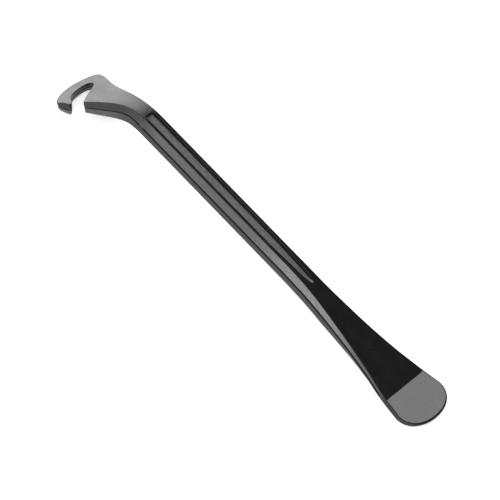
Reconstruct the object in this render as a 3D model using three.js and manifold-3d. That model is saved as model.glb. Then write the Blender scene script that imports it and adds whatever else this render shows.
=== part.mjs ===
// Bicycle tyre lever: a steel blade clamped between two moulded nylon shells.
// One end is a flat head, bent down, with an open slot that hooks on a spoke. The other end is a
// broad, thin spoon with a raised landing that slips under the tyre bead.
//
// Millimetres, +Z up. The lever is drawn in a shaft frame: X runs from the head to the spoon, and
// Z is 0 on the shaft's top rim. The outer group then turns it into its resting pose, lying on the
// head's lower edge and the spoon's underside, with the origin at the centre of its footprint.

import * as THREE from 'three';
import { mergeVertices } from 'three/addons/utils/BufferGeometryUtils.js';
import Module from 'manifold-3d';

const wasm = await Module();
wasm.setup();

// ---- driving dimensions -------------------------------------------------------------------

const LENGTH = 198.8;            // from X = 0, just past the head, to the tip of the spoon

const HEAD_BEND = THREE.MathUtils.degToRad(32);   // head face below the shaft's top rim
const BEND_X = 28;               // where the head face and the shaft's top would meet
const BEND_RADIUS = 38;          // top surface between them
const HEAD_REACH = 31.4;         // from BEND_X to the end of the head, along its face
const HEAD_END_THICKNESS = 2.7;
const HEAD_NECK_THICKNESS = 7.95;  // where the head meets the shaft
const SEAM_BEND_RADIUS = 22;
const SEAM_HEAD_X = 2.4;         // where the seam leaves the end of the head
const SEAM_HEAD_Z = -17.65;
const SEAM_BEND_X = 28;

const SHAFT_HALF_WIDTH = 3.6;
const SHAFT_BOTTOM_Z = -8.85;
const NECK_BOTTOM_RADIUS = 44;     // of the belly under the bend
const SEAM_Z = -5.35;            // the parting line runs level along shaft and spoon
const SEAM_GAP = 0.3;

const FLARE_X = 118;             // where the shaft starts to widen and drop into the spoon
const SPOON_WIDEST_X = 189;
const SPOON_HALF_WIDTH = 13.5;
const LANDING_X = 181;           // crease between the spoon's floor and the raised landing
const LANDING_Z = -4.25;
const TIP_Z = -3.4;
const TIP_THICKNESS = 2.2;
const HEEL_START_X = 168;        // flat underside that the lever rests on
const HEEL_END_X = 183;
const HEEL_START_Z = -8.0;

const CHANNEL_START_X = 34.5;    // groove along the top of the shaft
const CHANNEL_RAMP_X = 110;
const CHANNEL_END_X = 128;
const CHANNEL_DEPTH = 1.5;
const CHANNEL_HALF_WIDTH = 2.1;

const BLADE_THICKNESS = 0.9;      // thin at both ends
const BLADE_CLEARANCE = 0.3;
const BLADE_HALF_WIDTH = 1.95;
const BLADE_START_X = 15;
const BLADE_END_X = 178;
const BLADE_SPOON_HALF_WIDTH = 8.0;
const BAR_TOP_Z = -3.8;          // thick bar along the shaft
const BAR_BOTTOM_Z = -6.9;
const BAR_START_X = 34;
const BAR_END_X = 146;
const BAR_TAPER = 14;            // length over which the bar thins at its head end

const PEG_RADIUS = 0.8;
const PEG_TOP_Z = -2.9;
const PEG_BOTTOM_Z = -7.7;
const PEG_STATIONS_X = [48, 73, 98, 123];

const CURVE_STEPS = 8;          // segments in each curved stretch of an outline
const HALF_SLAB = 25;            // half the width of a slab before it is cut to its plan outline

// ---- solids and booleans ------------------------------------------------------------------

function toSolid(geometry) {
  const bare = geometry.index ? geometry.toNonIndexed() : geometry.clone();
  bare.deleteAttribute('normal');
  bare.deleteAttribute('uv');
  const merged = mergeVertices(bare, 1e-4);
  return new wasm.Manifold(new wasm.Mesh({
    numProp: 3,
    vertProperties: new Float32Array(merged.attributes.position.array),
    triVerts: new Uint32Array(merged.index.array),
  }));
}

function toGeometry(solid) {
  const { vertProperties, triVerts } = solid.getMesh();
  const geometry = new THREE.BufferGeometry();
  geometry.setAttribute('position', new THREE.BufferAttribute(vertProperties, 3));
  geometry.setIndex(new THREE.BufferAttribute(triVerts, 1));
  geometry.computeVertexNormals();
  return geometry;
}

function extrude(shape, depth) {
  return new THREE.ExtrudeGeometry(shape, { depth, bevelEnabled: false, curveSegments: CURVE_STEPS });
}

// A side outline drawn in X and Z, made into a slab across the whole width.
function sideSlab(shape, halfWidth = HALF_SLAB) {
  const geometry = extrude(shape, 2 * halfWidth);
  const toSide = new THREE.Matrix4().makeBasis(
    new THREE.Vector3(1, 0, 0), new THREE.Vector3(0, 0, 1), new THREE.Vector3(0, -1, 0));
  geometry.applyMatrix4(toSide.setPosition(0, halfWidth, 0));
  return toSolid(geometry);
}

// A plan outline drawn in X and Y, made into an upright prism that is taller than the lever.
function plumbPrism(shape) {
  const geometry = extrude(shape, 60);
  geometry.translate(0, 0, -40);
  return toSolid(geometry);
}

// An outline drawn on the head's face: its first axis runs from the bend to the end of the head,
// and the second along Y. The prism goes square through the head.
function headPrism(shape) {
  const geometry = extrude(shape, 40);
  const outward = new THREE.Vector3(-Math.cos(HEAD_BEND), 0, -Math.sin(HEAD_BEND));
  const through = new THREE.Vector3(Math.sin(HEAD_BEND), 0, -Math.cos(HEAD_BEND));
  const toHead = new THREE.Matrix4().makeBasis(outward, new THREE.Vector3(0, 1, 0), through);
  toHead.setPosition(BEND_X - 8 * through.x, 0, -8 * through.z);
  geometry.applyMatrix4(toHead);
  return toSolid(geometry);
}

// ---- side outlines ------------------------------------------------------------------------

// Point on the head's face at a reach from the bend, sunk by a depth square to the face.
function onHead(reach, depth = 0) {
  return new THREE.Vector2(
    BEND_X - reach * Math.cos(HEAD_BEND) + depth * Math.sin(HEAD_BEND),
    -reach * Math.sin(HEAD_BEND) - depth * Math.cos(HEAD_BEND));
}

// Level line at z that bends down towards the head with a slope angle, rounded by an arc.
function roundedBend(path, cornerX, z, slope, radius) {
  const tangent = radius * Math.tan(slope / 2);
  path.lineTo(cornerX - tangent * Math.cos(slope), z - tangent * Math.sin(slope));
  path.absarc(cornerX + tangent, z - radius, radius, Math.PI / 2 + slope, Math.PI / 2, true);
}

function topLine() {
  const path = new THREE.Path();
  const end = onHead(HEAD_REACH + 1);
  path.moveTo(end.x, end.y);
  roundedBend(path, BEND_X, 0, HEAD_BEND, BEND_RADIUS);
  path.lineTo(FLARE_X, 0);
  path.bezierCurveTo(FLARE_X + 15, 0, 150, -2.7, LANDING_X, LANDING_Z);
  path.lineTo(LENGTH + 1, TIP_Z);
  return path.getPoints(CURVE_STEPS);
}

// The seam between the shells, or a line parallel to it, lower by drop.
function seamLine(drop = 0) {
  const path = new THREE.Path();
  const slope = Math.atan2(SEAM_Z - SEAM_HEAD_Z, SEAM_BEND_X - SEAM_HEAD_X);
  const start = new THREE.Vector2(SEAM_HEAD_X - 3, SEAM_HEAD_Z - 3 * Math.tan(slope));
  path.moveTo(start.x + drop * Math.sin(slope), start.y - drop * Math.cos(slope));
  const cornerX = SEAM_BEND_X + drop * Math.tan(slope / 2);
  roundedBend(path, cornerX, SEAM_Z - drop, slope, SEAM_BEND_RADIUS - drop);
  path.lineTo(LENGTH + 1, SEAM_Z - drop);
  return path.getPoints(CURVE_STEPS);
}

function bottomLine() {
  const path = new THREE.Path();
  const end = onHead(HEAD_REACH, HEAD_END_THICKNESS);
  const bend = onHead(4.6, HEAD_NECK_THICKNESS);
  const slope = Math.atan2(bend.y - end.y, bend.x - end.x);
  const cornerX = end.x + (SHAFT_BOTTOM_Z - end.y) / Math.tan(slope);
  path.moveTo(end.x - 2 * Math.cos(slope), end.y - 2 * Math.sin(slope));
  roundedBend(path, cornerX, SHAFT_BOTTOM_Z, slope, NECK_BOTTOM_RADIUS);
  path.lineTo(FLARE_X + 6, SHAFT_BOTTOM_Z);
  path.bezierCurveTo(140, SHAFT_BOTTOM_Z, 155, heelZ(155), HEEL_START_X, HEEL_START_Z);
  path.lineTo(HEEL_END_X, heelZ(HEEL_END_X));
  path.lineTo(LENGTH, TIP_Z - TIP_THICKNESS);
  path.lineTo(LENGTH + 1, TIP_Z - TIP_THICKNESS);
  return path.getPoints(CURVE_STEPS);
}

// The lever rests on the head's lowest edge and on the heel, which lies along that slope.
const HEAD_FOOT = onHead(HEAD_REACH, HEAD_END_THICKNESS);
const REST_SLOPE = (HEEL_START_Z - HEAD_FOOT.y) / (HEEL_START_X - HEAD_FOOT.x);

function heelZ(x) {
  return HEEL_START_Z + (x - HEEL_START_X) * REST_SLOPE;
}

function band(upper, lower) {
  return new THREE.Shape([...lower, ...upper.slice().reverse()]);
}

// ---- plan outlines ------------------------------------------------------------------------

// One side of the spoon, from the shaft to its widest point.
function flareSide() {
  const stations = [
    [FLARE_X, SHAFT_HALF_WIDTH], [130, 3.95], [140, 4.8], [150, 6.0], [160, 7.5],
    [170, 9.4], [180, 11.8], [SPOON_WIDEST_X, SPOON_HALF_WIDTH],
  ];
  return stations.map(([x, halfWidth]) => new THREE.Vector2(x, halfWidth));
}

function shaftPlan() {
  const half = new THREE.Path();
  half.moveTo(18, SHAFT_HALF_WIDTH);
  half.lineTo(FLARE_X, SHAFT_HALF_WIDTH);
  half.splineThru(flareSide().slice(1));
  half.bezierCurveTo(195.5, SPOON_HALF_WIDTH, LENGTH, 7.4, LENGTH, 0);
  const side = half.getPoints(CURVE_STEPS);
  const other = side.slice(0, -1).reverse().map((p) => new THREE.Vector2(p.x, -p.y));
  return new THREE.Shape([...side, ...other]);
}

// Outline of the head on its own face. The slot opens on the -Y side, behind a finger whose end
// carries a small nib that keeps the spoke in.
function headPlan() {
  const shape = new THREE.Shape();
  const points = (pairs) => pairs.map(([reach, y]) => new THREE.Vector2(reach, y));
  shape.moveTo(-6, SHAFT_HALF_WIDTH);
  shape.lineTo(10, SHAFT_HALF_WIDTH);
  shape.splineThru(points([[17, 4.3], [22, 5.9], [25.6, 6.9], [28.7, 6.2], [30.3, 2.4],
    [31.1, -2], [HEAD_REACH, -6], [31, -10.5], [29.9, -14.4], [28.4, -17.2], [26.8, -18.3],
    [24.6, -18.1], [22.4, -17.6], [21.2, -16.9], [21.3, -15.8]]));
  shape.splineThru(points([[22.4, -14.4], [24, -13.1], [25.4, -11.7], [26.4, -9.2], [26.8, -6.4],
    [26.9, -3.6], [26.5, -1.1], [25.4, 0.3], [24.3, -0.4], [23.3, -2], [22.3, -4.3], [20.6, -8.2],
    [18.4, -12.2]]));
  shape.splineThru(points([[12.2, -8.6], [6.4, -5.8], [1, -4], [-6, -SHAFT_HALF_WIDTH]]));
  return shape;
}

// The blade widens with the spoon, and its nose stays behind the landing's rim.
function bladePlan(clearance) {
  const half = new THREE.Path();
  const width = BLADE_HALF_WIDTH + clearance;
  half.moveTo(BLADE_START_X - clearance, 0);
  half.lineTo(BLADE_START_X - clearance, width);
  half.lineTo(FLARE_X, width);
  half.bezierCurveTo(148, width, 158, 5 + clearance, 172, BLADE_SPOON_HALF_WIDTH + clearance);
  const noseX = BLADE_END_X + clearance;
  half.bezierCurveTo(176, BLADE_SPOON_HALF_WIDTH + clearance, noseX, 7, noseX, 0);
  const side = half.getPoints(CURVE_STEPS);
  const other = side.slice(1, -1).reverse().map((p) => new THREE.Vector2(p.x, -p.y));
  return new THREE.Shape([...side, ...other]);
}

// ---- pieces -------------------------------------------------------------------------------

const outline = plumbPrism(shaftPlan()).add(headPrism(headPlan()));

function pegSolid(x, clearance) {
  const height = PEG_TOP_Z - PEG_BOTTOM_Z + 2 * clearance;
  const geometry = new THREE.CylinderGeometry(PEG_RADIUS + clearance, PEG_RADIUS + clearance, height, 20);
  geometry.rotateX(Math.PI / 2);
  geometry.translate(x, 0, (PEG_TOP_Z + PEG_BOTTOM_Z) / 2);
  return toSolid(geometry);
}

// The thick part of the blade, grown by a clearance where it is used to cut its pocket.
function barSlab(clearance) {
  const bar = new THREE.Shape();
  const top = BAR_TOP_Z + clearance;
  const bottom = BAR_BOTTOM_Z - clearance;
  const middle = SEAM_Z - SEAM_GAP / 2 - BLADE_THICKNESS / 2;
  bar.moveTo(BAR_START_X, middle);
  bar.lineTo(BAR_START_X + BAR_TAPER, bottom);
  bar.lineTo(FLARE_X, bottom);
  bar.lineTo(BAR_END_X, middle);
  bar.lineTo(FLARE_X, top);
  bar.lineTo(BAR_START_X + BAR_TAPER, top);
  return sideSlab(bar);
}

function cutPegHoles(solid) {
  let drilled = solid;
  for (const x of PEG_STATIONS_X) {
    drilled = drilled.subtract(pegSolid(x, BLADE_CLEARANCE));
  }
  return drilled;
}

function upperShell() {
  const slab = sideSlab(band(topLine(), seamLine(-SEAM_GAP / 2)));
  const channel = new THREE.Shape();
  channel.moveTo(CHANNEL_START_X, 1);
  channel.lineTo(CHANNEL_START_X, -CHANNEL_DEPTH);
  channel.lineTo(CHANNEL_RAMP_X, -CHANNEL_DEPTH);
  channel.lineTo(CHANNEL_END_X, 0);
  channel.lineTo(CHANNEL_END_X, 1);
  const pocket = barSlab(BLADE_CLEARANCE).intersect(plumbPrism(bladePlan(BLADE_CLEARANCE)));
  return cutPegHoles(slab.intersect(outline)
    .subtract(sideSlab(channel, CHANNEL_HALF_WIDTH)).subtract(pocket));
}

function lowerShell() {
  const slab = sideSlab(band(seamLine(SEAM_GAP / 2), bottomLine()));
  const floorDrop = SEAM_GAP / 2 + BLADE_THICKNESS + BLADE_CLEARANCE;
  const pocket = sideSlab(band(seamLine(-1), seamLine(floorDrop))).add(barSlab(BLADE_CLEARANCE));
  return cutPegHoles(slab.intersect(outline)
    .subtract(pocket.intersect(plumbPrism(bladePlan(BLADE_CLEARANCE)))));
}

function steelBlade() {
  const top = seamLine(SEAM_GAP / 2);
  const bottom = seamLine(SEAM_GAP / 2 + BLADE_THICKNESS);
  const slab = sideSlab(band(top, bottom)).add(barSlab(0));
  return cutPegHoles(slab.intersect(plumbPrism(bladePlan(0))));
}

// ---- materials and scene graph ------------------------------------------------------------

const nylon = new THREE.MeshStandardMaterial({ color: 0x1d1d1f, roughness: 0.42, metalness: 0 });
const steel = new THREE.MeshStandardMaterial({ color: 0x8f9397, roughness: 0.35, metalness: 1 });
const peg = new THREE.MeshStandardMaterial({ color: 0x55585c, roughness: 0.5, metalness: 0 });

function piece(name, solid, material) {
  const mesh = new THREE.Mesh(toGeometry(solid), material);
  mesh.name = name;
  return mesh;
}

const lever = new THREE.Group();
lever.add(piece('upper_shell', upperShell(), nylon));
lever.add(piece('lower_shell', lowerShell(), nylon));
lever.add(piece('steel_blade', steelBlade(), steel));
PEG_STATIONS_X.forEach((x, index) => {
  lever.add(piece(`locating_peg_${index + 1}`, pegSolid(x, 0), peg));
});

// Turn the lever so that it lies level on its head and heel, then centre its footprint.
lever.rotation.y = Math.atan(REST_SLOPE);
lever.updateMatrixWorld(true);
const box = new THREE.Box3().setFromObject(lever, true);
const centre = box.getCenter(new THREE.Vector3());
lever.position.set(-centre.x, -centre.y, -box.min.z);

const group = new THREE.Group();
group.add(lever);

export default group;
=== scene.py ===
"""Bicycle tyre lever: two moulded nylon shells pressed round a steel blade and four locating pegs.

The lever is drawn in its own shaft frame, in millimetres: the station runs from the head to the
spoon, and depth is measured down from the top surface. It is then laid on its head and heel.
"""

import math

import bmesh
import bpy
from bpy.props import FloatProperty, FloatVectorProperty, PointerProperty
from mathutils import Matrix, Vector


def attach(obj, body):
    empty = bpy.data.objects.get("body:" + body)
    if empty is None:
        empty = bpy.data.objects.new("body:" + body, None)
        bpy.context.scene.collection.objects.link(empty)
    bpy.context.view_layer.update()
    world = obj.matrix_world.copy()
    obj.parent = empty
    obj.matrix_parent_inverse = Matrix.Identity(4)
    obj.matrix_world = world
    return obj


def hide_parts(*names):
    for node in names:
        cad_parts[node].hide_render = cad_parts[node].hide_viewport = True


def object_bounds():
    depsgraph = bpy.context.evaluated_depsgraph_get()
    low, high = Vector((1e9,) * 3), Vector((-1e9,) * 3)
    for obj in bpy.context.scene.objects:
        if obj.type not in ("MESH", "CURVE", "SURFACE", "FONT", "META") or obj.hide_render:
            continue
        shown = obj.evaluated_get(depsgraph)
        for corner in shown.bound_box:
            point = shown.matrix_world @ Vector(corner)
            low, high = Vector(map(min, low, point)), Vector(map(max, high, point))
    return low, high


bl_info = {
    "name": "Bicycle Tyre Lever",
    "version": (1, 0, 0),
    "blender": (4, 5, 0),
    "location": "View3D > Sidebar > Tyre Lever",
    "description": "Builds the shells, the core and the studio stage of a steel-cored tyre lever",
    "category": "Object",
}

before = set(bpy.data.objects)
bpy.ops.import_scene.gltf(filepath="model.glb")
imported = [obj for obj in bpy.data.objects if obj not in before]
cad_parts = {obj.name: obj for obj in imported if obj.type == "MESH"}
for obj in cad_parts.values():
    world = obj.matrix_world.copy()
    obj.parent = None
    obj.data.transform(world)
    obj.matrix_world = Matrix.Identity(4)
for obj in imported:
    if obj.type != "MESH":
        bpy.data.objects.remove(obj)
CAD_LOW, CAD_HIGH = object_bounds()
MM = 0.001

# ---- the lever's drawing, in millimetres ----------------------------------------------------

LENGTH = 198.8
HEAD_BEND = math.radians(32)
BEND_X = 28.0
BEND_RADIUS = 38.0
BEND_REACH = BEND_RADIUS * math.tan(HEAD_BEND / 2)
HEAD_REACH = 31.4
HEAD_END_THICKNESS = 2.7
HEAD_NECK_THICKNESS = 7.95
NECK_BOTTOM_RADIUS = 44.0
SHAFT_HALF_WIDTH = 3.6
SHAFT_BOTTOM = -8.85
SEAM_LEVEL = -5.35
FLARE_X = 118.0
WIDEST_X = 189.0
SPOON_HALF_WIDTH = 13.5
LANDING_X = 181.0
LANDING_LEVEL = -4.25
TIP_LEVEL = -3.4
TIP_THICKNESS = 2.2
HEEL_START = (168.0, -8.0)
HEEL_END_X = 183.0
HEAD_ROW = 13.0                 # reach at which the cross rows give way to the head's outline

# Half-widths along the flare, and the head's outline as reach from the bend and offset across.
FLARE = [(FLARE_X, SHAFT_HALF_WIDTH), (130, 3.95), (140, 4.8), (150, 6.0), (160, 7.5),
         (170, 9.4), (180, 11.8), (WIDEST_X, SPOON_HALF_WIDTH)]
HEAD_FAR = [(10, 3.6), (17, 4.3), (22, 5.9), (25.6, 6.9), (28.7, 6.2), (30.3, 2.4), (31.1, -2),
            (HEAD_REACH, -6), (31, -10.5), (29.9, -14.4), (28.4, -17.2), (26.8, -18.3),
            (24.6, -18.1), (22.4, -17.6), (21.2, -16.9), (21.3, -15.8)]
HEAD_SLOT = [(21.3, -15.8), (22.4, -14.4), (24, -13.1), (25.4, -11.7), (26.4, -9.2), (26.8, -6.4),
             (26.9, -3.6), (26.5, -1.1), (25.4, 0.3), (24.3, -0.4), (23.3, -2), (22.3, -4.3),
             (20.6, -8.2), (18.4, -12.2)]
HEAD_NEAR = [(18.4, -12.2), (12.2, -8.6), (6.4, -5.8), (1, -4), (-6, -3.6)]

# Edges of both shells, as pairs of a station along the lever and a value. A draft is how far a
# flat's edge stands in from the outline, a round is that edge's radius.
TOP_DRAFT = [(0, 0.05), (145, 0.05), (160, 0.2), (172, 0.35), (179, 0.5), (182, 0.25), (199, 0.15)]
TOP_ROUND = [(0, 0.3), (24, 0.3), (36, 0.22), (178, 0.22), (182, 0.8), (199, 0.9)]
BOTTOM_DRAFT = [(0, 0.25), (6, 0.25), (13, 0.1), (28, 0.05), (142, 0.05), (160, 0.4), (172, 0.6),
                (199, 0.9)]
BOTTOM_ROUND = [(0, 0.3), (24, 0.4), (142, 0.35), (160, 1.2), (199, 1.4)]

# How far the walls lean in by the seam, and how much of the rebate along it is there.
UNDERCUT = [(-2, 0.25), (6, 0.2), (13, 0.0), (176, 0.0), (188, 0.5), (199, 0.7)]
LIP_SHARE = [(20, 0.0), (36, 1.0)]

# The groove's share of its full width, then of its full depth, and last how far the points of
# the cross rows are gathered on it.
GROOVE_WIDTH = [(100, 1.0), (108, 0.95), (115, 0.81), (122, 0.7), (124, 0.6), (126, 0.45),
                (127.6, 0.25)]
GROOVE_FALL = [(34.55, 0), (34.68, 0.1), (34.9, 0.92), (35.1, 1.0), (122, 1.0), (125, 0.85),
               (127, 0.4), (128, 0)]
GROOVE_SPREAD = [(26, 0), (33, 1), (128, 1), (146, 0)]
GROOVE_START = 34.8             # stations between which the groove's floor is grained and painted light grey, a painted reflection
GROOVE_END = 128.0
GROOVE_FLOOR_COLUMNS = range(5, 11)     # of a cross row, counted from the near side

FINGER_BEVEL = 1.1              # how far the top edge stands back at the finger's end
FINGER_REACH = 27.4             # reach from which that bevel runs out towards the head's end
FINGER_REACH_RUN = 3.5
FINGER_Y = -15.2                # offset across at which the bevel starts
FINGER_Y_RUN = 1.6

CORNER_EASE = 0.07              # small steps that round the lips of the seam
LIP_EASE = 0.08
FLAT_MARGIN = 0.35              # flat ring inside the rounded edge of the top
BELLY_MARGIN = 0.12             # and of the underside
SEAM_SHELF = 0.4                # flat shelf inside the rebate
TONGUE_WIDTH = 0.3              # the lower shell's tongue stands this far inside the rebate
TONGUE_HEIGHT = 0.2
SEAM_ROOM_SHARE = 0.25          # most of a wall's height that its lip may take


def between(table, x):
    """Value of a table of pairs at x, joined by straight lines and held at both ends."""
    if x <= table[0][0]:
        return table[0][1]
    for (x0, v0), (x1, v1) in zip(table, table[1:]):
        if x <= x1:
            return v0 + (v1 - v0) * (x - x0) / (x1 - x0)
    return table[-1][1]


def eased(x):
    """0 below 0, 1 above 1 and a smooth turn between."""
    x = min(max(x, 0.0), 1.0)
    return x * x * (3 - 2 * x)


def bezier(a, b, c, d, steps=28):
    """Points of a cubic curve, both ends included."""
    points = []
    for i in range(steps + 1):
        t = i / steps
        k = ((1 - t) ** 3, 3 * t * (1 - t) ** 2, 3 * t * t * (1 - t), t ** 3)
        points.append(tuple(sum(w * p[axis] for w, p in zip(k, (a, b, c, d))) for axis in (0, 1)))
    return points


def flowing(points, steps=8):
    """Smooth curve through the points, as a draughtsman's spline."""
    last = len(points) - 1
    curve = [points[0]]
    for i in range(last):
        p = [points[max(i - 1, 0)], points[i], points[i + 1], points[min(i + 2, last)]]
        for k in range(1, steps + 1):
            t = k / steps
            curve.append(tuple(
                0.5 * (2 * p[1][a] + (p[2][a] - p[0][a]) * t
                       + (2 * p[0][a] - 5 * p[1][a] + 4 * p[2][a] - p[3][a]) * t * t
                       + (3 * p[1][a] - p[0][a] - 3 * p[2][a] + p[3][a]) * t ** 3)
                for a in (0, 1)))
    return curve


def on_head(reach, depth=0.0):
    """Point of the side view on the head's face, sunk square to it by depth."""
    return (BEND_X - reach * math.cos(HEAD_BEND) + depth * math.sin(HEAD_BEND),
            -reach * math.sin(HEAD_BEND) - depth * math.cos(HEAD_BEND))


def bent_line(start, corner_x, level, radius):
    """Line from the head's end up to a level stretch, rounded where they meet."""
    slope = math.atan2(level - start[1], corner_x - start[0])
    tangent = radius * math.tan(slope / 2)
    line = [start]
    for i in range(13):
        a = slope * (1 - i / 12)
        line.append((corner_x + tangent - radius * math.sin(a), level - radius + radius * math.cos(a)))
    return line


HEAD_FOOT = on_head(HEAD_REACH, HEAD_END_THICKNESS)
NECK_FOOT = on_head(4.6, HEAD_NECK_THICKNESS)
REST_SLOPE = (HEEL_START[1] - HEAD_FOOT[1]) / (HEEL_START[0] - HEAD_FOOT[0])
REST_TILT = math.atan(REST_SLOPE)
FOOT_SLOPE = (NECK_FOOT[1] - HEAD_FOOT[1]) / (NECK_FOOT[0] - HEAD_FOOT[0])

SHAFT_TOP = [(FLARE_X, 0.0)] + bezier((FLARE_X, 0), (133, 0), (150, -2.7), (LANDING_X, LANDING_LEVEL))
SHAFT_TOP.append((LENGTH + 1, TIP_LEVEL))
SEAM_START = (2.4 - 6, -17.65 - 6 * (17.65 + SEAM_LEVEL) / (BEND_X - 2.4))
SEAM_LINE = bent_line(SEAM_START, BEND_X, SEAM_LEVEL, 22) + [(LENGTH + 2, SEAM_LEVEL)]
FOOT_CORNER = HEAD_FOOT[0] + (SHAFT_BOTTOM - HEAD_FOOT[1]) / FOOT_SLOPE
HEEL_END = (HEEL_END_X, HEEL_START[1] + (HEEL_END_X - HEEL_START[0]) * REST_SLOPE)
BOTTOM_LINE = bent_line((HEAD_FOOT[0] - 3, HEAD_FOOT[1] - 3 * FOOT_SLOPE), FOOT_CORNER, SHAFT_BOTTOM,
                        NECK_BOTTOM_RADIUS)
BOTTOM_LINE += bezier((FLARE_X + 6, SHAFT_BOTTOM), (140, SHAFT_BOTTOM),
                      (155, HEEL_START[1] - 13 * REST_SLOPE), HEEL_START)
BOTTOM_LINE += [HEEL_END, (LENGTH, TIP_LEVEL - TIP_THICKNESS), (LENGTH + 2, TIP_LEVEL - TIP_THICKNESS)]

ORIGIN_X = CAD_HIGH.x / MM - (LENGTH * math.cos(REST_TILT) + TIP_LEVEL * math.sin(REST_TILT))
ORIGIN_Y = CAD_HIGH.y / MM - SPOON_HALF_WIDTH
ORIGIN_Z = CAD_LOW.z / MM + HEAD_FOOT[0] * math.sin(REST_TILT) - HEAD_FOOT[1] * math.cos(REST_TILT)


def top_at(station):
    """Side view of the top surface at a station: X, Z and how far it leans towards the head."""
    s = station - BEND_X
    if s <= -BEND_REACH:
        x, z = on_head(-s)
        return x, z, HEAD_BEND
    if s < BEND_REACH:
        lean = HEAD_BEND * (BEND_REACH - s) / (2 * BEND_REACH)
        return (BEND_X + BEND_REACH - BEND_RADIUS * math.sin(lean),
                BEND_RADIUS * (math.cos(lean) - 1), lean)
    return station, between(SHAFT_TOP, station), 0.0


def depth_to(line, station):
    """Depth at which a line of the side view lies under the top surface."""
    x, z, lean = top_at(station)
    dx, dz = math.sin(lean), -math.cos(lean)
    for (ax, az), (bx, bz) in zip(line, line[1:]):
        ex, ez = bx - ax, bz - az
        cross = dx * ez - dz * ex
        if abs(cross) < 1e-12:
            continue
        along = ((ax - x) * dz - (az - z) * dx) / cross
        depth = ((ax - x) * ez - (az - z) * ex) / cross
        if -1e-9 <= along <= 1 + 1e-9 and depth > 0:
            return depth
    raise ValueError(f"no line under station {station}")


def placed(station, y, depth):
    """Point of the lever in the row frame, in metres."""
    x, z, lean = top_at(station)
    x += depth * math.sin(lean)
    z -= depth * math.cos(lean)
    return Vector((x * math.cos(REST_TILT) + z * math.sin(REST_TILT) + ORIGIN_X,
                   y + ORIGIN_Y,
                   -x * math.sin(REST_TILT) + z * math.cos(REST_TILT) + ORIGIN_Z)) * MM


# ---- outline in plan ------------------------------------------------------------------------

def as_stations(pairs):
    return [(BEND_X - reach, y) for reach, y in pairs]


def resampled(points, spacing):
    """The same open curve with its points an even distance apart."""
    lengths = [0.0]
    for a, b in zip(points, points[1:]):
        lengths.append(lengths[-1] + math.dist(a, b))
    count = max(2, round(lengths[-1] / spacing))
    along = list(zip(lengths, points))
    xs = [(d, p[0]) for d, p in along]
    ys = [(d, p[1]) for d, p in along]
    steps = [lengths[-1] * i / count for i in range(count + 1)]
    return [(between(xs, d), between(ys, d)) for d in steps]


def row_stations():
    """Stations of the cross rows, closer together where the surface turns or the groove ends."""
    stations = []
    for first, last, step in ((BEND_X - HEAD_ROW, 34, 1.0), (34, 36, 0.125), (36, 104, 2.5),
                              (104, 132, 1.0), (132, 178, 1.6), (178, 184, 0.4), (184, WIDEST_X, 1.0)):
        count = max(1, round((last - first) / step))
        stations += [first + (last - first) * i / count for i in range(count)]
    return stations + [WIDEST_X]


def outline():
    """Near row ends, far row ends and the head's free edge, all as (station, y)."""
    far_side = sorted(as_stations(flowing(HEAD_FAR)[:17])) + [(BEND_X, SHAFT_HALF_WIDTH)]
    near_side = sorted(as_stations(flowing(HEAD_NEAR)))
    flare = flowing(FLARE)
    far_side += flare
    near_side += [(x, -y) for x, y in flare]
    stations = row_stations()
    near = [(x, between(near_side, x)) for x in stations]
    far = [(x, between(far_side, x)) for x in stations]
    tip = bezier((WIDEST_X, SPOON_HALF_WIDTH), (195.5, SPOON_HALF_WIDTH), (LENGTH, 7.4), (LENGTH, 0), 22)
    near += [(x, -y) for x, y in tip[1:-1]]
    far += tip[1:-1]
    start = BEND_X - HEAD_ROW
    edge = [p for p in as_stations(flowing(HEAD_FAR)) if p[0] < start - 0.3 or p[1] < 0]
    edge = [far[0]] + edge + as_stations(flowing(HEAD_SLOT))[1:]
    edge += [p for p in as_stations(flowing(HEAD_NEAR))[1:] if p[0] < start - 0.3] + [near[0]]
    return near, far, resampled(edge, 0.62)[1:-1]


def outward(loop, window=0.9):
    """Outward direction at each point of the closed outline, evened over a short length."""
    count = len(loop)
    normals = []
    for i in range(count):
        ahead = behind = i
        run = 0.0
        while run < window:
            run += math.dist(loop[ahead % count], loop[(ahead + 1) % count])
            ahead += 1
        run = 0.0
        while run < window:
            run += math.dist(loop[behind % count], loop[(behind - 1) % count])
            behind -= 1
        a, b = loop[behind % count], loop[ahead % count]
        length = math.dist(a, b)
        normals.append(((b[1] - a[1]) / length, (a[0] - b[0]) / length))
    return normals


NEAR, FAR, HEAD_EDGE = outline()
ROWS = len(NEAR)
LOOP = NEAR + [(LENGTH, 0.0)] + FAR[::-1] + HEAD_EDGE
NORMALS = outward(LOOP)
APEX = ROWS


def far_index(row):
    return 2 * ROWS - row


# ---- shells ---------------------------------------------------------------------------------

def groove_columns(half_width, depth):
    """Places across the groove from its middle outwards, with their depths."""
    wall = [(0.0, 1.0), (0.35, 1.0), (0.7, 1.0), (0.775, 0.97), (0.82, 0.88), (0.96, 0.12),
            (0.995, 0.03), (1.04, 0.0)]
    near = [(-a * half_width, d * depth) for a, d in wall[::-1]]
    return near + [(a * half_width, d * depth) for a, d in wall[1:]]


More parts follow.
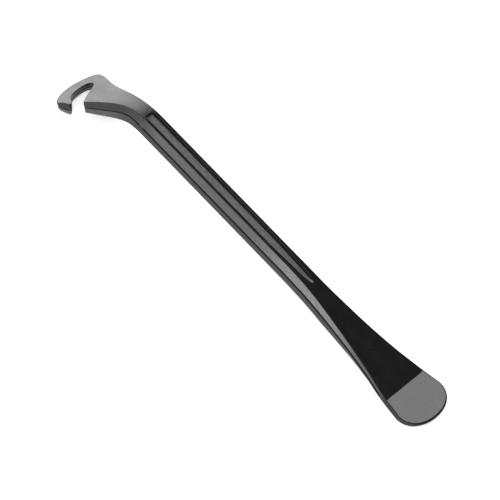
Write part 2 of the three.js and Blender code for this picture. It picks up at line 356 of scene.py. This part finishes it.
def cap_rows(bm, ring, plan, depth_of, relief=None, columns=17):
    """Rows of vertices across a ring of the outline. The relief gives the groove's columns."""
    rows = []
    for row in range(ROWS):
        i, j = row, far_index(row)
        (s0, y0), (s1, y1) = plan[i], plan[j]
        gathered = between(GROOVE_SPREAD, NEAR[row][0]) if relief else 0.0
        shape = relief(NEAR[row][0]) if relief else [(0.0, 0.0)] * (columns - 2)
        line = [ring[i]]
        for k, (across, sink) in enumerate(shape, start=1):
            even = k / (len(shape) + 1)
            part = gathered * (across - y0) / (y1 - y0) + (1 - gathered) * even
            s, y = s0 + (s1 - s0) * part, y0 + (y1 - y0) * part
            line.append(bm.verts.new(placed(s, y, depth_of(s) + sink)))
        rows.append(line + [ring[j]])
    return rows


def close_cap(bm, ring, rows, material_of=None):
    """Faces of a cap: quads between rows, a fan at the tip and one flat face on the head."""
    for row, (a, b) in enumerate(zip(rows, rows[1:])):
        for k in range(len(a) - 1):
            face = bm.faces.new((a[k], b[k], b[k + 1], a[k + 1]))
            if material_of:
                face.material_index = material_of(NEAR[row][0], k)
    last = rows[-1]
    for k in range(len(last) - 1):
        face = bm.faces.new((last[k], ring[APEX], last[k + 1]))
        if material_of:
            face.material_index = material_of(LENGTH, k)
    bm.faces.new(list(rows[0]) + ring[far_index(0) + 1:])


def shell_object(name, profile, top_relief, top_material, wall_material):
    """A shell from rings round the outline. Each ring of the profile has an inset and a depth."""
    bm = bmesh.new()
    rings, plans = [], []
    for inset_of, depth_of in profile:
        plan = []
        for (s, y), (ns, ny) in zip(LOOP, NORMALS):
            inset = inset_of(s, y)
            plan.append((s - ns * inset, y - ny * inset))
        rings.append([bm.verts.new(placed(s, y, depth_of(s))) for s, y in plan])
        plans.append(plan)
    count = len(LOOP)
    for level, (upper, lower) in enumerate(zip(rings, rings[1:])):
        for i in range(count):
            j = (i + 1) % count
            face = bm.faces.new((lower[i], lower[j], upper[j], upper[i]))
            face.material_index = wall_material(LOOP[i][0], level)
    top = cap_rows(bm, rings[0], plans[0], profile[0][1], top_relief)
    close_cap(bm, rings[0], top, top_material)
    under = cap_rows(bm, rings[-1], plans[-1], profile[-1][1])
    close_cap(bm, rings[-1], under)
    bmesh.ops.recalc_face_normals(bm, faces=bm.faces)
    open_edges = [e for e in bm.edges if len(e.link_faces) != 2]
    if open_edges:
        raise RuntimeError(f"{name} has {len(open_edges)} open edges")
    mesh = bpy.data.meshes.new(name)
    bm.to_mesh(mesh)
    bm.free()
    mesh.shade_smooth()
    shell = bpy.data.objects.new(name, mesh)
    bpy.context.scene.collection.objects.link(shell)
    return shell


def rounded_edge(draft, radius, turn, depth_from, steps=5):
    """Rings of a rounded edge, from the flat inwards to the wall. turn is +1 under the flat."""
    rings = []
    for i in range(steps):
        a = math.radians(90 * i / (steps - 1))

        def inset(s, y, a=a):
            return draft(s, y) + radius(s) * (1 - math.sin(a))

        def depth(s, a=a):
            return depth_from(s) + turn * radius(s) * (1 - math.cos(a))

        rings.append((inset, depth))
    return rings


def hollow_out(shell, clearance=0.28):
    """Cuts the room for the blade and the pegs out of a shell."""
    for node in ["steel_blade"] + [f"locating_peg_{i}" for i in range(1, 5)]:
        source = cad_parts[node]
        cutter = bpy.data.objects.new("cutter", source.data.copy())
        bpy.context.scene.collection.objects.link(cutter)
        bm = bmesh.new()
        bm.from_mesh(cutter.data)
        bmesh.ops.remove_doubles(bm, verts=bm.verts, dist=1e-7)
        bm.normal_update()
        grown = [v.co + v.normal * clearance * MM * min(v.calc_shell_factor(), 1.6) for v in bm.verts]
        for v, co in zip(bm.verts, grown):
            v.co = co
        bm.to_mesh(cutter.data)
        bm.free()
        cut = shell.modifiers.new("room", "BOOLEAN")
        cut.operation = "DIFFERENCE"
        cut.solver = "MANIFOLD"
        cut.object = cutter
        evaluated = shell.evaluated_get(bpy.context.evaluated_depsgraph_get())
        mesh = bpy.data.meshes.new_from_object(evaluated)
        shell.modifiers.clear()
        shell.data = mesh
        bpy.data.objects.remove(cutter)


SMALLEST_ISLAND = 12            # faces; anything smaller and loose is a leftover of a cut
WELD = 0.001 * MM


def tidy_mesh(shell):
    """Takes out slivers that a cut can leave, and insists on a closed surface."""
    bm = bmesh.new()
    bm.from_mesh(shell.data)
    bmesh.ops.remove_doubles(bm, verts=bm.verts, dist=WELD)
    bmesh.ops.dissolve_degenerate(bm, edges=bm.edges, dist=WELD)
    unseen = set(bm.faces)
    while unseen:
        island, border = set(), [unseen.pop()]
        while border:
            face = border.pop()
            island.add(face)
            for edge in face.edges:
                for other in edge.link_faces:
                    if other in unseen:
                        unseen.remove(other)
                        border.append(other)
        if len(island) < SMALLEST_ISLAND:
            bmesh.ops.delete(bm, geom=list(island), context="FACES")
    open_edges = sum(1 for e in bm.edges if len(e.link_faces) != 2)
    if open_edges:
        raise RuntimeError(f"{shell.name} has {open_edges} open edges after the cuts")
    bm.to_mesh(shell.data)
    bm.free()


def even_normals(shell):
    weighted = shell.modifiers.new("even normals", "WEIGHTED_NORMAL")
    weighted.keep_sharp = True
    weighted.weight = 80


def finish_shell(shell, node):
    hollow_out(shell)
    tidy_mesh(shell)
    shell.data.name = shell.name
    shell.data.set_sharp_from_angle(angle=math.radians(48))
    even_normals(shell)
    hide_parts(node)
    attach(shell, "root")


# ---- effects and materials ------------------------------------------------------------------

def new_group(name, inputs, outputs):
    group = bpy.data.node_groups.new(name, "ShaderNodeTree")
    for label, kind, value in inputs:
        socket = group.interface.new_socket(name=label, in_out="INPUT", socket_type=kind)
        socket.default_value = value
    for label, kind in outputs:
        group.interface.new_socket(name=label, in_out="OUTPUT", socket_type=kind)
    return group, group.nodes.new("NodeGroupInput"), group.nodes.new("NodeGroupOutput")


def noise(tree, vector, scale, detail=3.0, roughness=0.55):
    node = tree.nodes.new("ShaderNodeTexNoise")
    tree.links.new(vector, node.inputs["Vector"])
    if isinstance(scale, (int, float)):
        node.inputs["Scale"].default_value = scale
    else:
        tree.links.new(scale, node.inputs["Scale"])
    node.inputs["Detail"].default_value = detail
    node.inputs["Roughness"].default_value = roughness
    return node.outputs["Fac"]


def math_node(tree, operation, a, b=None, c=None):
    node = tree.nodes.new("ShaderNodeMath")
    node.operation = operation
    for socket, value in zip(node.inputs, (a, b, c)):
        if value is None:
            continue
        if isinstance(value, (int, float)):
            socket.default_value = value
        else:
            tree.links.new(value, socket)
    return node.outputs[0]


def spread(tree, value, low, high, to_low=0.0, to_high=1.0):
    node = tree.nodes.new("ShaderNodeMapRange")
    node.interpolation_type = "SMOOTHSTEP"
    tree.links.new(value, node.inputs["Value"])
    for label, number in (("From Min", low), ("From Max", high), ("To Min", to_low), ("To Max", to_high)):
        node.inputs[label].default_value = number
    return node.outputs["Result"]


def moulded_grain():
    """Grain of a spark-eroded mould: a height for bumps and a speckle for colour."""
    group, source, result = new_group(
        "moulded_grain",
        [("Vector", "NodeSocketVector", (0, 0, 0)), ("Scale", "NodeSocketFloat", 2500.0)],
        [("Height", "NodeSocketFloat"), ("Speckle", "NodeSocketFloat")])
    vector, scale = source.outputs["Vector"], source.outputs["Scale"]
    fine = noise(group, vector, scale, 2.0, 0.6)
    coarse = noise(group, vector, math_node(group, "MULTIPLY", scale, 0.31), 3.0, 0.6)
    height = math_node(group, "ADD", math_node(group, "MULTIPLY", fine, 0.6),
                       math_node(group, "MULTIPLY", coarse, 0.4))
    group.links.new(height, result.inputs["Height"])
    group.links.new(spread(group, height, 0.36, 0.66), result.inputs["Speckle"])
    return group


def flow_bands():
    """Slow variation that the melt leaves along a long moulding."""
    group, source, result = new_group(
        "flow_bands", [("Vector", "NodeSocketVector", (0, 0, 0))], [("Variation", "NodeSocketFloat")])
    stretch = group.nodes.new("ShaderNodeVectorMath")
    stretch.operation = "MULTIPLY"
    stretch.inputs[1].default_value = (60, 260, 260)
    group.links.new(source.outputs["Vector"], stretch.inputs[0])
    value = noise(group, stretch.outputs[0], 1.0, 3.0, 0.5)
    group.links.new(spread(group, value, 0.3, 0.7), result.inputs["Variation"])
    return group


def edge_wear():
    """Mask of the thin light line where hands and bags rub the edges."""
    group, source, result = new_group(
        "edge_wear",
        [("Vector", "NodeSocketVector", (0, 0, 0)), ("Amount", "NodeSocketFloat", 0.4)],
        [("Mask", "NodeSocketFloat")])
    geometry = group.nodes.new("ShaderNodeNewGeometry")
    ridge = spread(group, geometry.outputs["Pointiness"], 0.53, 0.60)
    broken = spread(group, noise(group, source.outputs["Vector"], 700.0, 4.0, 0.65), 0.42, 0.66)
    mask = math_node(group, "MULTIPLY", math_node(group, "MULTIPLY", ridge, broken),
                     source.outputs["Amount"])
    group.links.new(mask, result.inputs["Mask"])
    return group


def effect(name, build):
    return bpy.data.node_groups.get(name) or build()


def place_group(tree, group, **values):
    node = tree.nodes.new("ShaderNodeGroup")
    node.node_tree = group
    for label, value in values.items():
        if isinstance(value, (int, float)):
            node.inputs[label].default_value = value
        else:
            tree.links.new(value, node.inputs[label])
    return node


def blend_colour(tree, factor, a, b):
    node = tree.nodes.new("ShaderNodeMix")
    node.data_type = "RGBA"
    tree.links.new(factor, node.inputs["Factor"])
    for label, value in (("A", a), ("B", b)):
        socket = next(s for s in node.inputs if s.name == label and s.type == "RGBA")
        if isinstance(value, tuple):
            socket.default_value = (*value, 1.0)
        else:
            tree.links.new(value, socket)
    return next(s for s in node.outputs if s.type == "RGBA")


def scaled_colour(tree, colour, factor):
    node = tree.nodes.new("ShaderNodeVectorMath")
    node.operation = "SCALE"
    tree.links.new(colour, node.inputs[0])
    tree.links.new(factor, node.inputs["Scale"])
    return node.outputs[0]


def nylon_material(name, colour, tone, roughness, grain_scale, grain_depth, wear, along=()):
    """Glass-filled nylon. tone is how much the speckle varies, roughness a low and high pair.

    along holds a start station, an end station and the colour that takes over between them. These
    stations paint reflections lighter or darker along the sides and the belly.
    """
    material = bpy.data.materials.new(name)
    material.use_nodes = True
    tree = material.node_tree
    shader = tree.nodes["Principled BSDF"]
    coords = tree.nodes.new("ShaderNodeTexCoord").outputs["Object"]
    grain = place_group(tree, effect("moulded_grain", moulded_grain), Vector=coords, Scale=grain_scale)
    bands = place_group(tree, effect("flow_bands", flow_bands), Vector=coords)
    rubbed = place_group(tree, effect("edge_wear", edge_wear), Vector=coords, Amount=wear)
    place = tree.nodes.new("ShaderNodeSeparateXYZ")
    tree.links.new(coords, place.inputs[0])
    ground = tree.nodes.new("ShaderNodeRGB").outputs[0]
    ground.default_value = (*colour, 1.0)
    for start, end, next_colour in along:
        low, high = placed(start, 0, 0).x, placed(end, 0, 0).x
        ground = blend_colour(tree, spread(tree, place.outputs["X"], low, high), ground, next_colour)
    shade = spread(tree, grain.outputs["Speckle"], 0.0, 1.0, 1 - tone, 1 + tone)
    body = scaled_colour(tree, ground, shade)
    worn = blend_colour(tree, rubbed.outputs["Mask"], body, tuple(c * 2.0 + 0.02 for c in colour))
    tree.links.new(worn, shader.inputs["Base Color"])
    mixed = math_node(tree, "ADD", math_node(tree, "MULTIPLY", grain.outputs["Height"], 0.4),
                      math_node(tree, "MULTIPLY", bands.outputs["Variation"], 0.6))
    tree.links.new(spread(tree, mixed, 0.1, 0.9, *roughness), shader.inputs["Roughness"])
    bump = tree.nodes.new("ShaderNodeBump")
    bump.inputs["Strength"].default_value = 1.0
    bump.inputs["Distance"].default_value = grain_depth * MM
    tree.links.new(grain.outputs["Height"], bump.inputs["Height"])
    tree.links.new(bump.outputs["Normal"], shader.inputs["Normal"])
    return material


def steel_material(colour):
    """Spring steel as rolled, with drawing lines along the blade and a little heat tint."""
    material = bpy.data.materials.new("spring_steel")
    material.use_nodes = True
    tree = material.node_tree
    shader = tree.nodes["Principled BSDF"]
    coords = tree.nodes.new("ShaderNodeTexCoord").outputs["Object"]
    stretch = tree.nodes.new("ShaderNodeVectorMath")
    stretch.operation = "MULTIPLY"
    stretch.inputs[1].default_value = (150, 4000, 4000)
    tree.links.new(coords, stretch.inputs[0])
    lines = noise(tree, stretch.outputs[0], 1.0, 4.0, 0.6)
    stain = spread(tree, noise(tree, coords, 180.0, 3.0, 0.6), 0.35, 0.7)
    tint = blend_colour(tree, stain, tuple(colour), (colour[0] * 0.7, colour[1] * 0.62, colour[2] * 0.52))
    tree.links.new(tint, shader.inputs["Base Color"])
    shader.inputs["Metallic"].default_value = 1.0
    tree.links.new(spread(tree, lines, 0.2, 0.8, 0.26, 0.46), shader.inputs["Roughness"])
    bump = tree.nodes.new("ShaderNodeBump")
    bump.inputs["Distance"].default_value = 0.01 * MM
    tree.links.new(lines, bump.inputs["Height"])
    tree.links.new(bump.outputs["Normal"], shader.inputs["Normal"])
    return material


def floor_material(colour):
    """Pale matt board with a hardly visible tooth."""
    material = bpy.data.materials.new("pale_board")
    material.use_nodes = True
    tree = material.node_tree
    shader = tree.nodes["Principled BSDF"]
    coords = tree.nodes.new("ShaderNodeTexCoord").outputs["Object"]
    cloud = spread(tree, noise(tree, coords, 3.0, 2.0, 0.5), 0.3, 0.7)
    shade = blend_colour(tree, cloud, tuple(c * 0.985 for c in colour), tuple(colour))
    tree.links.new(shade, shader.inputs["Base Color"])
    shader.inputs["Roughness"].default_value = 0.9
    shader.inputs["Emission Color"].default_value = (1, 1, 1, 1)
    shader.inputs["Emission Strength"].default_value = 0.6
    return material


# ---- settings -------------------------------------------------------------------------------

class LeverSizes(bpy.types.PropertyGroup):
    seam_gap: FloatProperty(
        name="Seam gap", description="Width of the parting line between the shells",
        default=0.3 * MM, min=0.1 * MM, max=0.6 * MM, precision=5, unit="LENGTH")
    seam_lip: FloatProperty(
        name="Seam lip", description="Height of the rebate that each shell has along the parting line",
        default=0.35 * MM, min=0.05 * MM, max=0.5 * MM, precision=5, unit="LENGTH")
    seam_depth: FloatProperty(
        name="Seam depth", description="Depth of the shadow groove along the parting line",
        default=0.8 * MM, min=0.2 * MM, max=1.0 * MM, precision=5, unit="LENGTH")
    groove_depth: FloatProperty(
        name="Groove depth", description="Depth of the groove along the shaft",
        default=1.5 * MM, min=0.2 * MM, max=1.6 * MM, precision=5, unit="LENGTH")
    groove_half_width: FloatProperty(
        name="Groove half-width", description="Half the width of the groove at its rim",
        default=2.3 * MM, min=0.8 * MM, max=2.5 * MM, precision=5, unit="LENGTH")


# Colours of the nylon, the steel and the pegs, with painted reflections for the groove's floor, the
# sides, the flare, the belly and the landing.
class LeverFinishAndPaintedLight(bpy.types.PropertyGroup):
    nylon: FloatVectorProperty(
        name="Nylon", description="Colour of the smooth black nylon", subtype="COLOR",
        default=(0.0105, 0.0105, 0.011), min=0, max=1)
    # Painted reflection: the groove's floor is black nylon painted light grey in place of the reflection
    # on it; its grain is real.
    grain_and_painted_reflection: FloatVectorProperty(
        name="Grained nylon", description="Colour of the nylon where the mould's grain scatters light",
        subtype="COLOR", default=(0.18, 0.18, 0.182), min=0, max=1)
    # Painted reflection: the grained sides are painted lighter than black nylon where they catch the
    # floor's light; the grain itself is real.
    side: FloatVectorProperty(
        name="Sides", description="Colour of the grained sides next to the head", subtype="COLOR",
        default=(0.065, 0.065, 0.066), min=0, max=1)
    # Painted reflection: lighter still on the flare, where the sides turn towards the light.
    flare: FloatVectorProperty(
        name="Flare", description="Colour of the grained sides from the flare on", subtype="COLOR",
        default=(0.17, 0.17, 0.172), min=0, max=1)
    # Painted reflection: the lower shell's sides under the head are painted lighter where they face the
    # bright floor, turning black from station 18 to 34.
    belly: FloatVectorProperty(
        name="Belly", description="Colour of the lower shell's sides under the head", subtype="COLOR",
        default=(0.07, 0.07, 0.071), min=0, max=1)
    # Painted reflection: the landing is the same black nylon, painted grey in place of the reflection of
    # the light on it.
    landing: FloatVectorProperty(
        name="Landing", description="Colour of the satin landing at the tip", subtype="COLOR",
        default=(0.205, 0.205, 0.207), min=0, max=1)
    steel: FloatVectorProperty(
        name="Steel", description="Colour of the blade", subtype="COLOR",
        default=(0.45, 0.46, 0.47), min=0, max=1)
    peg: FloatVectorProperty(
        name="Peg nylon", description="Colour of the locating pegs", subtype="COLOR",
        default=(0.2, 0.2, 0.21), min=0, max=1)


class StageSettings(bpy.types.PropertyGroup):
    board: FloatVectorProperty(
        name="Board", description="Colour of the floor", subtype="COLOR",
        default=(0.9, 0.9, 0.9), min=0, max=1)
    panel_light: FloatProperty(
        name="Side panel", description="Brightness of the large panel beyond the head",
        default=4.6, min=0, max=20)
    room_light: FloatProperty(
        name="Room", description="Brightness of the white room behind the camera",
        default=1.3, min=0, max=10)


SATIN, GRAIN_AND_PAINTED_REFLECTION, SIDE_PAINTED_REFLECTION, LANDING_PAINTED_REFLECTION, BELLY_PAINTED_REFLECTION = range(5)
SIDE_LEVELS = (5, 6)            # bands of the walls, counted from the top, that carry the sides' painted reflection
BELLY_LEVELS = (4, 5, 6)
SIDE_START = 20.0
SAME_STATION = 0.01             # stations this close count as one


def shell_materials(shell):
    finish = bpy.context.scene.lever_finish
    names = ("satin_nylon", "grained_painted_reflection_nylon", "side_painted_reflection_nylon", "landing_painted_reflection_nylon", "belly_painted_reflection_nylon")
    if not bpy.data.materials.get(names[0]):
        side, flare = tuple(finish.side), tuple(finish.flare)
        nylon_material(names[0], tuple(finish.nylon), 0.15, (0.2, 0.3), 3200.0, 0.006, 0.25)
        # painted reflection on the groove's floor, over its real grain
        nylon_material(names[1], tuple(finish.grain_and_painted_reflection), 0.25, (0.42, 0.58), 2300.0, 0.03, 0.2)
        # painted reflection on the sides: lighter from station 31, lighter still on the flare, darker
        # again from 142 so the light band narrows to a painted highlight line
        nylon_material(names[2], tuple(finish.nylon), 0.25, (0.35, 0.5), 2300.0, 0.02, 0.2,
                       [(31, 46, side), (92, 124, flare), (142, 168, side)])
        # painted reflection on the landing at the tip
        nylon_material(names[3], tuple(finish.landing), 0.08, (0.35, 0.45), 3600.0, 0.008, 0.15)
        # painted reflection on the lower shell's sides under the head
        nylon_material(names[4], tuple(finish.belly), 0.2, (0.3, 0.42), 2800.0, 0.012, 0.2,
                       [(18, 34, tuple(finish.nylon))])
    for name in names:
        shell.data.materials.append(bpy.data.materials[name])


# ---- operators ------------------------------------------------------------------------------

class LEVER_OT_upper_shell(bpy.types.Operator):
    """Build the upper shell with the head's face, the groove, the spoon's floor and the landing"""
    bl_idname = "lever.upper_shell"
    bl_label = "Upper Shell"

    def execute(self, context):
        sizes = context.scene.lever_sizes
        gap, lip, rebate = sizes.seam_gap / MM / 2, sizes.seam_lip / MM, sizes.seam_depth / MM
        depth, half_width = sizes.groove_depth / MM, sizes.groove_half_width / MM

        def seam(s):
            return depth_to(SEAM_LINE, s) - gap

        def draft(s, y):
            along = eased((s - BEND_X + FINGER_REACH) / FINGER_REACH_RUN)
            across = eased((FINGER_Y - y) / FINGER_Y_RUN)
            return between(TOP_DRAFT, s) + FINGER_BEVEL * along * across

        def radius(s):
            return between(TOP_ROUND, s)

        def surface(s):
            return 0.0

        def lip_at(s):
            return seam(s) - min(lip, SEAM_ROOM_SHARE * seam(s)) * between(LIP_SHARE, s)

        def relief(s):
            return groove_columns(half_width * between(GROOVE_WIDTH, s), depth * between(GROOVE_FALL, s))

        def top_finish_and_painted_light(s, column):
            # the landing takes the painted reflection colour
            if s >= LANDING_X - SAME_STATION:
                return LANDING_PAINTED_REFLECTION
            # the groove's floor takes the painted reflection colour
            grain_and_painted_reflection = GROOVE_START < s < GROOVE_END and column in GROOVE_FLOOR_COLUMNS
            return GRAIN_AND_PAINTED_REFLECTION if grain_and_painted_reflection else SATIN

        def wall_finish_and_painted_light(s, level):
            if level == 0 and s >= LANDING_X - SAME_STATION:
                return LANDING_PAINTED_REFLECTION
            # the upper walls along the shaft take the sides' painted reflection
            return SIDE_PAINTED_REFLECTION if level in SIDE_LEVELS and SIDE_START < s < LANDING_X else SATIN

        profile = [(lambda s, y: draft(s, y) + radius(s) + FLAT_MARGIN, surface)]
        profile += rounded_edge(draft, radius, 1, surface)
        profile.append((lambda s, y: draft(s, y) * 0.4 + between(UNDERCUT, s) * 0.5,
                        lambda s: lip_at(s) * 0.6))
        profile += [(lambda s, y: between(UNDERCUT, s), lambda s: lip_at(s) - LIP_EASE),
                    (lambda s, y: between(UNDERCUT, s) + CORNER_EASE, lip_at),
                    (lambda s, y: rebate, lip_at),
                    (lambda s, y: rebate, seam)]
        profile.append((lambda s, y: rebate + SEAM_SHELF, seam))
        shell = shell_object("upper_shell_moulding", profile, relief, top_finish_and_painted_light, wall_finish_and_painted_light)
        shell_materials(shell)
        finish_shell(shell, "upper_shell")
        return {"FINISHED"}


class LEVER_OT_lower_shell(bpy.types.Operator):
    """Build the lower shell with its rounded belly and the heel"""
    bl_idname = "lever.lower_shell"
    bl_label = "Lower Shell"

    def execute(self, context):
        sizes = context.scene.lever_sizes
        gap, lip, rebate = sizes.seam_gap / MM / 2, sizes.seam_lip / MM, sizes.seam_depth / MM

        def seam(s):
            return depth_to(SEAM_LINE, s) + gap

        def bottom(s):
            return depth_to(BOTTOM_LINE, s)

        def room(s):
            return max(bottom(s) - seam(s), 0.02)

        def lip_at(s):
            return seam(s) + min(lip, SEAM_ROOM_SHARE * room(s)) * between(LIP_SHARE, s)

        def draft(s, y):
            return between(UNDERCUT, s) + min(between(BOTTOM_DRAFT, s), 0.7 * room(s))

        def radius(s):
            return min(between(BOTTOM_ROUND, s), 0.55 * room(s))

        def tongue(s):
            return seam(s) - TONGUE_HEIGHT

        def wall_finish_and_painted_light(s, level):
            # these wall bands take the belly's painted reflection
            return BELLY_PAINTED_REFLECTION if level in BELLY_LEVELS else SATIN

        profile = [(lambda s, y: rebate + TONGUE_WIDTH, tongue),
                   (lambda s, y: rebate + TONGUE_WIDTH / 2, seam),
                   (lambda s, y: rebate, seam),
                   (lambda s, y: rebate, lip_at),
                   (lambda s, y: between(UNDERCUT, s) + CORNER_EASE, lip_at),
                   (lambda s, y: between(UNDERCUT, s), lambda s: lip_at(s) + 0.1 * room(s))]
        profile += rounded_edge(draft, radius, -1, bottom)[::-1]
        profile.append((lambda s, y: draft(s, y) + radius(s) + BELLY_MARGIN, bottom))
        shell = shell_object("lower_shell_moulding", profile, None,
                             lambda s, column: SATIN, wall_finish_and_painted_light)
        shell_materials(shell)
        finish_shell(shell, "lower_shell")
        return {"FINISHED"}


class LEVER_OT_core(bpy.types.Operator):
    """Give the steel blade and the four locating pegs their finishes"""
    bl_idname = "lever.core"
    bl_label = "Blade and Pegs"

    def execute(self, context):
        finish = context.scene.lever_finish
        steel = steel_material(tuple(finish.steel))
        peg = nylon_material("peg_nylon", tuple(finish.peg), 0.1, (0.45, 0.6), 1500.0, 0.01, 0.1)
        for name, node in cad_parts.items():
            if name == "steel_blade":
                node.data.materials[0] = steel
            elif name.startswith("locating_peg"):
                node.data.materials[0] = peg
        return {"FINISHED"}


class LEVER_OT_stage(bpy.types.Operator):
    """Set up the pale floor, the studio light and the camera"""
    bl_idname = "lever.stage"
    bl_label = "Stage"

    def execute(self, context):
        settings = context.scene.lever_stage
        floor = board()
        floor.data.materials.append(floor_material(tuple(settings.board)))
        studio(settings.panel_light, settings.room_light)
        camera()
        context.scene.view_settings.view_transform = "Standard"
        return {"FINISHED"}


BOARD_RADII = (0.4, 1.2, 2.4, 4.0)
BOARD_SIDES = 64


def board():
    """Round, flat floor board in rings, far wider than the lever."""
    bm = bmesh.new()
    rings = []
    for radius in BOARD_RADII:
        rings.append([bm.verts.new((radius * math.cos(a), radius * math.sin(a), 0.0))
                      for a in (math.tau * i / BOARD_SIDES for i in range(BOARD_SIDES))])
    bm.faces.new(rings[0])
    for inner, outer in zip(rings, rings[1:]):
        for i in range(BOARD_SIDES):
            j = (i + 1) % BOARD_SIDES
            bm.faces.new((inner[i], outer[i], outer[j], inner[j]))
    mesh = bpy.data.meshes.new("floor_board")
    bm.to_mesh(mesh)
    bm.free()
    floor = bpy.data.objects.new("floor_board", mesh)
    bpy.context.scene.collection.objects.link(floor)
    return floor


def glow(tree, direction, towards, inner, outer, strength):
    """Soft round patch of light in a direction. inner and outer are half-angles in degrees."""
    dot = tree.nodes.new("ShaderNodeVectorMath")
    dot.operation = "DOT_PRODUCT"
    tree.links.new(direction, dot.inputs[0])
    dot.inputs[1].default_value = Vector(towards).normalized()
    return spread(tree, dot.outputs["Value"], math.cos(math.radians(outer)),
                  math.cos(math.radians(inner)), 0.0, strength)


def studio(panel, room):
    """White room behind the camera, one large panel beyond the head, and a dark ceiling beyond."""
    world = bpy.data.worlds.new("studio")
    bpy.context.scene.world = world
    world.use_nodes = True
    tree = world.node_tree
    background = tree.nodes["Background"]
    direction = tree.nodes.new("ShaderNodeTexCoord").outputs["Generated"]
    side = glow(tree, direction, (-0.77, 0.50, 0.33), 10, 37, panel)
    behind = glow(tree, direction, (0.15, -0.85, 0.45), 30, 85, room)
    total = math_node(tree, "ADD", math_node(tree, "ADD", side, behind), 0.06)
    seen = tree.nodes.new("ShaderNodeLightPath").outputs["Is Camera Ray"]
    unseen = math_node(tree, "SUBTRACT", 1.0, seen)
    strength = math_node(tree, "ADD", math_node(tree, "MULTIPLY", total, unseen), seen)
    tree.links.new(strength, background.inputs["Strength"])
    background.inputs["Color"].default_value = (1, 1, 1, 1)


def camera():
    """Long lens above the near side, turned so that the lever runs down the frame's diagonal."""
    lens = bpy.data.cameras.new("camera")
    lens.lens = 200
    lens.sensor_width = 36
    lens.clip_start, lens.clip_end = 0.05, 20
    view = bpy.data.objects.new("camera", lens)
    view.location = (0.26267, -0.62850, 0.84660)
    view.rotation_euler = tuple(math.radians(a) for a in (35.9990, -15.6798, 43.0821))
    bpy.context.scene.collection.objects.link(view)
    bpy.context.scene.camera = view


class LEVER_PT_panel(bpy.types.Panel):
    bl_label = "Tyre Lever"
    bl_idname = "LEVER_PT_panel"
    bl_space_type = "VIEW_3D"
    bl_region_type = "UI"
    bl_category = "Tyre Lever"

    def draw(self, context):
        layout = self.layout
        for group in (context.scene.lever_sizes, context.scene.lever_finish, context.scene.lever_stage):
            box = layout.box()
            for name in group.bl_rna.properties.keys():
                if name not in ("rna_type", "name"):
                    box.prop(group, name)
        for operator in OPERATORS:
            layout.operator(operator.bl_idname)


OPERATORS = (LEVER_OT_upper_shell, LEVER_OT_lower_shell, LEVER_OT_core, LEVER_OT_stage)
CLASSES = (LeverSizes, LeverFinishAndPaintedLight, StageSettings, *OPERATORS, LEVER_PT_panel)


def register():
    for cls in CLASSES:
        bpy.utils.register_class(cls)
    bpy.types.Scene.lever_sizes = PointerProperty(type=LeverSizes)
    bpy.types.Scene.lever_finish = PointerProperty(type=LeverFinishAndPaintedLight)
    bpy.types.Scene.lever_stage = PointerProperty(type=StageSettings)


def unregister():
    del bpy.types.Scene.lever_stage
    del bpy.types.Scene.lever_finish
    del bpy.types.Scene.lever_sizes
    for cls in reversed(CLASSES):
        bpy.utils.unregister_class(cls)


def main():
    register()
    bpy.ops.lever.upper_shell()
    bpy.ops.lever.lower_shell()
    bpy.ops.lever.core()
    bpy.ops.lever.stage()


if __name__ == "__main__":
    main()
